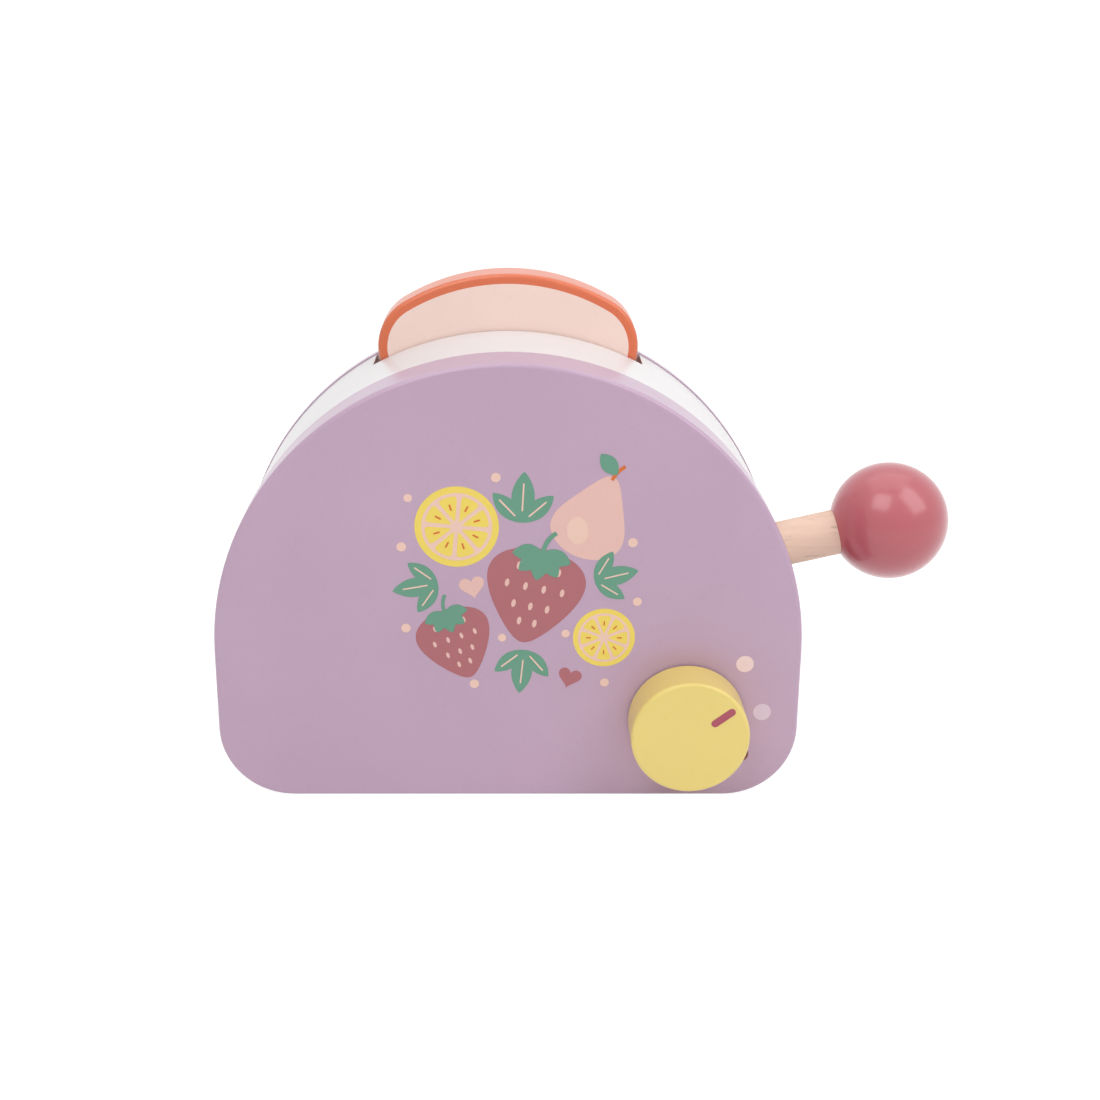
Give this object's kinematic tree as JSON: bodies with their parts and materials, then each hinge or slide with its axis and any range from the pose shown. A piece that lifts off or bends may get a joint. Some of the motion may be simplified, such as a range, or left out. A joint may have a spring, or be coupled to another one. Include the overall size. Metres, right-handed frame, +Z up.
{
  "type": "toy toaster",
  "caption": "Wooden toy toaster with a round-topped painted body, a slice of toast that a side lever lowers into a slot, and a turning knob that clicks.",
  "frame": {"origin": "centre of the flat underside that the housing stands on, midway between the outer faces of the two panels", "axes": "+X towards the lever's ball, +Y to the back panel, +Z up"},
  "size_m": [0.2557, 0.0933, 0.1734],
  "materials": {
    "lilac_paint": "satin painted wood",
    "white_paint": "satin painted bent plywood",
    "plywood": "bare plywood",
    "beech": "bare sanded beech",
    "rose_paint": "gloss painted wood",
    "yellow_paint": "satin painted wood",
    "toast_paint": "matt painted wood with an orange crust",
    "steel": "zinc plated",
    "spring_steel": "drawn wire",
    "felt": "pressed felt",
    "nylon": "moulded plastic"
  },
  "bodies": {
    "housing": {"front_panel": "lilac_paint", "back_panel": "lilac_paint", "casing": "white_paint", "base_board": "plywood", "tie_rod_left": "beech", "tie_rod_right": "beech", "back_screws": "steel", "base_dowels": "beech", "pivot_pin": "beech", "pivot_spacer_front": "nylon", "pivot_spacer_back": "nylon", "guide_post_left": "beech", "guide_post_right": "beech", "guide_stop_left": "nylon", "guide_stop_right": "nylon", "return_spring_left": "spring_steel", "return_spring_right": "spring_steel", "felt_washer": "felt", "click_reed": "nylon", "reed_screw": "steel"},
    "lever": {"lever_arm": "beech", "lever_ball": "rose_paint"},
    "tray": {"toast_tray": "plywood", "tray_hanger": "plywood", "peg_lower": "beech", "peg_upper": "beech"},
    "toast": {"toast_slice": "toast_paint"},
    "dial": {"knob": "yellow_paint", "knob_axle": "beech", "click_wheel": "nylon", "axle_collar": "nylon"}
  },
  "joints": [
    {"name": "lever_hinge", "type": "hinge", "parent": "housing", "child": "lever", "pos_m": [-0.07, 0, 0.0411], "axis": [0, 1, 0], "range_deg": [0, 15], "stiffness_Nm_per_rad": 0.6, "springref_deg": -25.78},
    {"name": "tray_slide", "type": "slide", "parent": "housing", "child": "tray", "axis": [0, 0, -1], "range_m": [0, 0.0187], "deforming": ["return_spring_left", "return_spring_right"]},
    {"name": "toast_lift", "type": "slide", "parent": "tray", "child": "toast", "axis": [0, 0, 1], "range_m": [0, 0.09]},
    {"name": "knob_turn", "type": "hinge", "parent": "housing", "child": "dial", "pos_m": [0.0613, 0, 0.0295], "axis": [0, 1, 0], "continuous": true}
  ],
  "couplings": [
    {"joint": "tray_slide", "follows": "lever_hinge", "m_per_rad": 0.07109}
  ]
}
